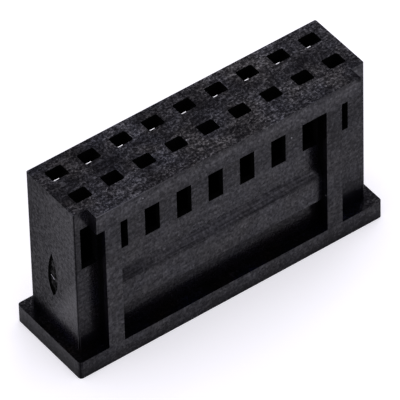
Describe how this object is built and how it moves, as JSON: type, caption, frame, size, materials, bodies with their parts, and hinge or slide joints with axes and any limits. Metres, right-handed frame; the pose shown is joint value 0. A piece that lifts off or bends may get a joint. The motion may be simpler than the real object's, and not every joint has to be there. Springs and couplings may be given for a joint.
{
  "type": "female connector housing",
  "caption": "Black moulded crimp housing for a pin-header connector: pin entries in the mating face, lance windows, a polarising key, a latch ledge and a base flange.",
  "frame": {"origin": "on the base, at the middle of the contact grid", "axes": "+X along the contact rows, -Y towards the keyed front, +Z out of the mating face"},
  "size_m": [0.0248, 0.007, 0.0136],
  "materials": {
    "housing_plastic": "black glass-filled plastic, moulded, satin"
  },
  "bodies": {
    "root": {"housing": "housing_plastic"}
  },
  "joints": []
}
